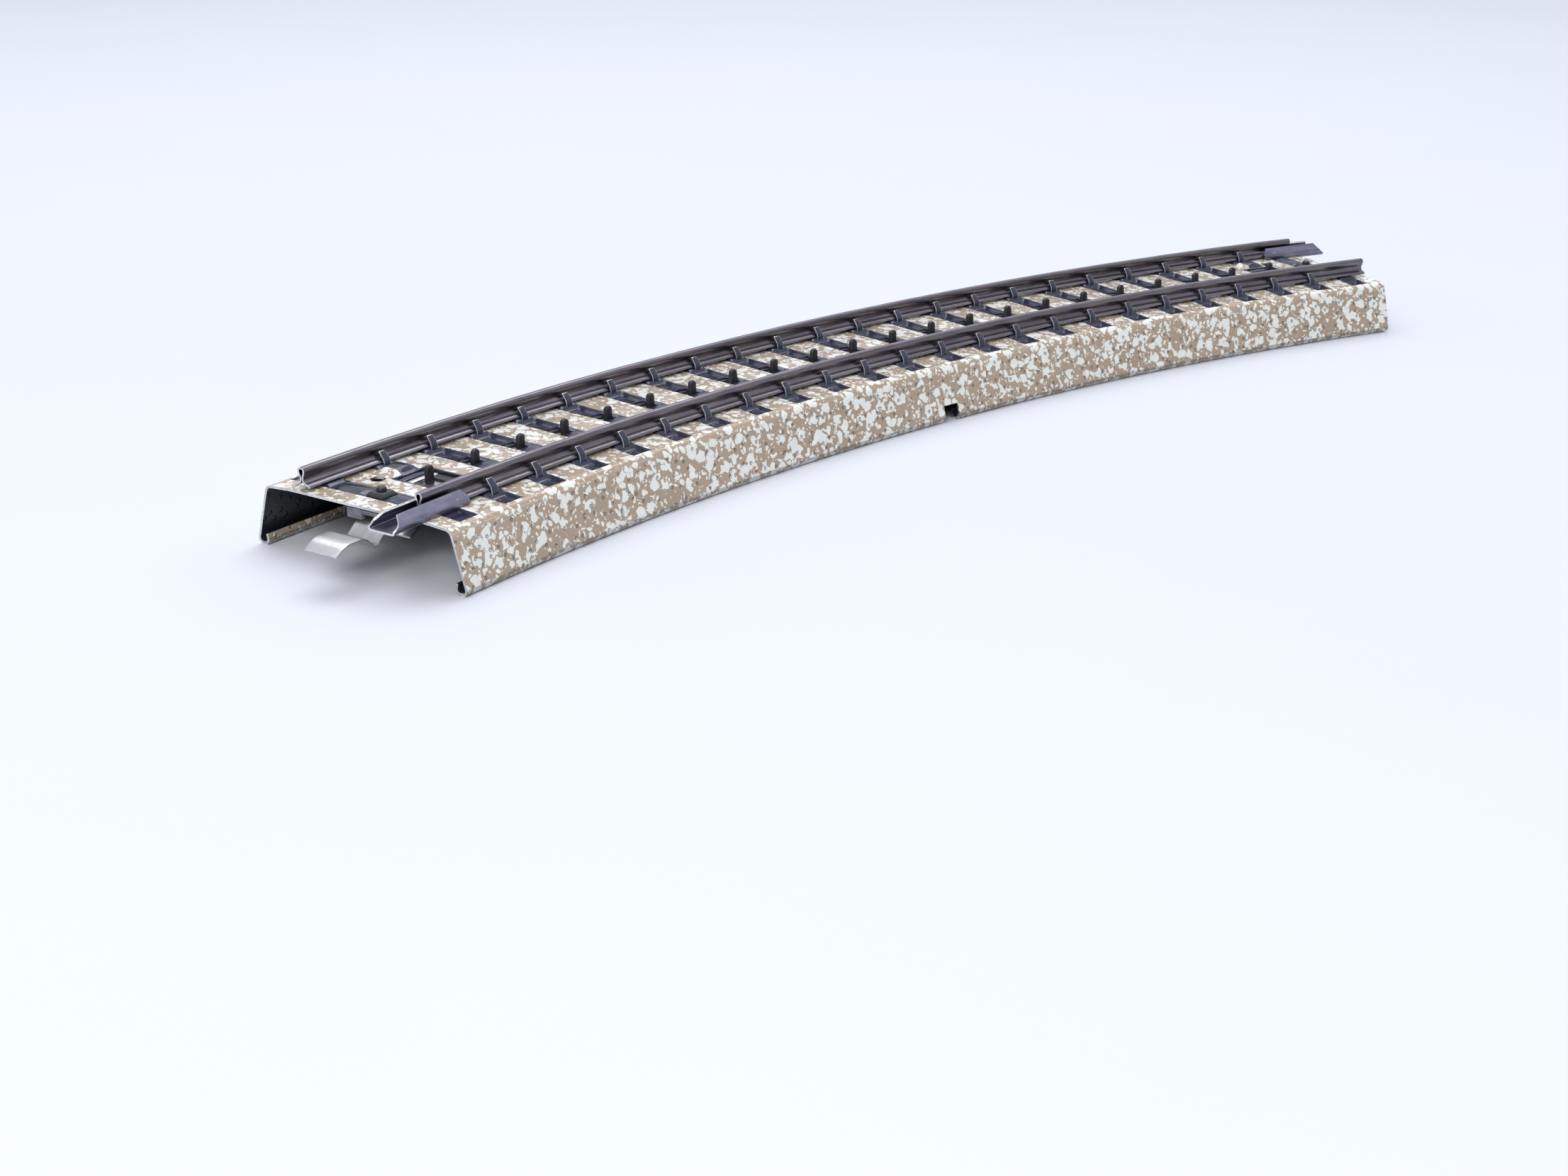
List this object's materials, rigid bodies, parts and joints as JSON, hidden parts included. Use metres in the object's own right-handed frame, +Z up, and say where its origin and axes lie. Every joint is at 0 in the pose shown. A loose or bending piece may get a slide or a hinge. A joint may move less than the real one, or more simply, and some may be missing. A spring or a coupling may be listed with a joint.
{
  "type": "model track section",
  "caption": "Curved pressed-metal model railway track section with hollow rails, joiners, centre studs and sprung end contacts.",
  "frame": {"origin": "on the supporting surface, under the middle of the bounding box", "axes": "+X along the chord of the curve, +Y away from the centre of curvature at mid-length, +Z up"},
  "size_m": [0.2027, 0.0444, 0.0107],
  "materials": {
    "printed_sheet": "glossy printed lacquer, brown with pale grey-green speckles, blue-black sleepers",
    "rail_steel": "dark burnished rolled sheet",
    "joiner_steel": "blued sheet with bright cut edges",
    "blackened_steel": "matt black oxide",
    "liner": "thin dark insulating sheet",
    "insulator": "dark laminated board",
    "spring_metal": "bright nickel-like sheet"
  },
  "bodies": {
    "track": {"ballast_bed": "printed_sheet", "inner_rail": "rail_steel", "outer_rail": "rail_steel", "rail_joiner_left": "joiner_steel", "rail_joiner_right": "joiner_steel", "centre_conductor": "blackened_steel", "insulating_strip": "liner", "end_insulator_left": "insulator", "end_insulator_right": "insulator"},
    "spring_left": {"contact_spring_left": "spring_metal"},
    "spring_right": {"contact_spring_right": "spring_metal"}
  },
  "joints": [
    {"name": "spring_left_flex", "type": "hinge", "parent": "track", "child": "spring_left", "pos_m": [-0.09111, -0.00792, 0.0066], "axis": [-0.2588, 0.9659, 0], "range_deg": [-6, 4], "stiffness_Nm_per_rad": 0.04},
    {"name": "spring_right_flex", "type": "hinge", "parent": "track", "child": "spring_right", "pos_m": [0.09215, -0.00406, 0.0066], "axis": [-0.2588, -0.9659, 0], "range_deg": [-6, 4], "stiffness_Nm_per_rad": 0.04}
  ]
}
